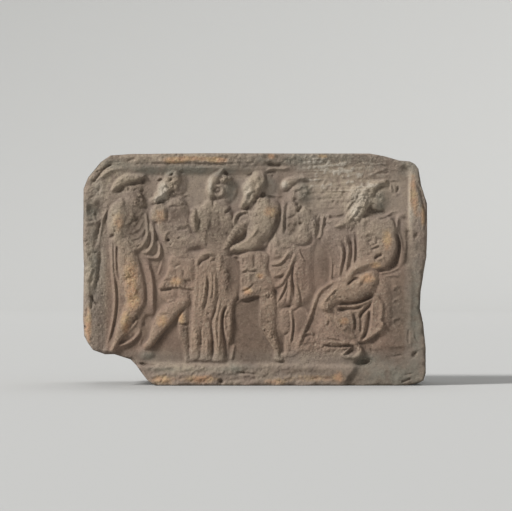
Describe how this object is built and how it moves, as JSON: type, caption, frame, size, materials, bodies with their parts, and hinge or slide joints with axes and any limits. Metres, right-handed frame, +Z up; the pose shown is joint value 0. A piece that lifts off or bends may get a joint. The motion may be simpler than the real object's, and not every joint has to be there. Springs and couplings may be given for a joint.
{
  "type": "hearth tile",
  "caption": "Thick fired-clay fireplace brick with a figure scene in low relief on its front, one lower corner broken away.",
  "frame": {"origin": "centre of the tile's box, at the plane of the lower edge that it stands on", "axes": "+X along the tile to the right of the picture, -Y out of the relief, +Z up to the upper edge"},
  "size_m": [0.1381, 0.0622, 0.0932],
  "materials": {
    "fired_clay": "unglazed, weathered"
  },
  "bodies": {
    "root": {"hearth_tile": "fired_clay"}
  },
  "joints": []
}
